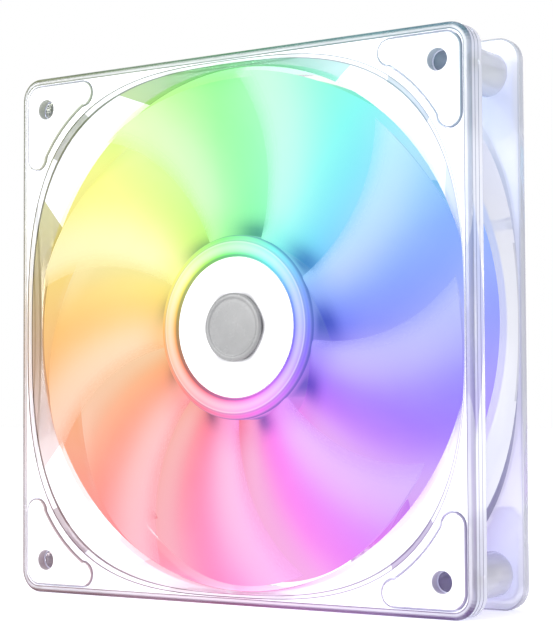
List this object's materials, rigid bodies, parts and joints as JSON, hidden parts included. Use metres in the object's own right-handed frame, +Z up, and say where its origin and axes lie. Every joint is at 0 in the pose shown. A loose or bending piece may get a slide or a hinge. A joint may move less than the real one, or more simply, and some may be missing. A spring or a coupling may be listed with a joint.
{
  "type": "case fan",
  "caption": "Square axial case fan with a clear frame, soft white corner pads, a lit frosted rotor with forward-swept blades, and a motor inside the hub.",
  "frame": {"origin": "centre of the fan's box, on the axis of rotation, halfway between the front and rear pad faces", "axes": "+Y along the axis of rotation, the way the air blows, +Z up, the front (intake) face looks along -Y"},
  "size_m": [0.12, 0.025, 0.12],
  "materials": {
    "clear_plastic": "clear, polished",
    "pad_rubber": "soft matt white",
    "frosted_plastic": "frosted, translucent, lit from the hub",
    "white_plastic": "satin white",
    "badge_metal": "spun satin",
    "steel": "plain",
    "magnet": "dark bonded ferrite",
    "brass": "turned",
    "bronze": "sintered, oily",
    "seal_rubber": "black",
    "copper": "enamelled wire",
    "board": "white solder mask",
    "chip": "moulded black",
    "lamp": "pale phosphor",
    "label_film": "printed film, blank"
  },
  "bodies": {
    "stationary": {"frame": "clear_plastic", "front_pad_1": "pad_rubber", "front_pad_2": "pad_rubber", "front_pad_3": "pad_rubber", "front_pad_4": "pad_rubber", "rear_pad_1": "pad_rubber", "rear_pad_2": "pad_rubber", "rear_pad_3": "pad_rubber", "rear_pad_4": "pad_rubber", "bearing_tube": "brass", "bearing_sleeve": "bronze", "oil_seal": "seal_rubber", "bearing_cap": "white_plastic", "stator_core": "steel", "insulator_front": "white_plastic", "insulator_rear": "white_plastic", "coil_1": "copper", "coil_2": "copper", "coil_3": "copper", "coil_4": "copper", "motor_board": "board", "driver_chip": "chip", "hall_sensor": "chip", "led_1": "lamp", "led_2": "lamp", "led_3": "lamp", "led_4": "lamp", "led_5": "lamp", "led_6": "lamp", "led_7": "lamp", "led_8": "lamp", "rear_label": "label_film"},
    "rotor": {"impeller": "frosted_plastic", "hub_disc": "white_plastic", "hub_badge": "badge_metal", "rotor_yoke": "steel", "magnet_ring": "magnet", "shaft_boss": "brass", "shaft": "steel", "retaining_clip": "steel"}
  },
  "joints": [
    {"name": "fan_spin", "type": "hinge", "parent": "stationary", "child": "rotor", "pos_m": [0, 0, 0], "axis": [0, -1, 0], "continuous": true}
  ]
}
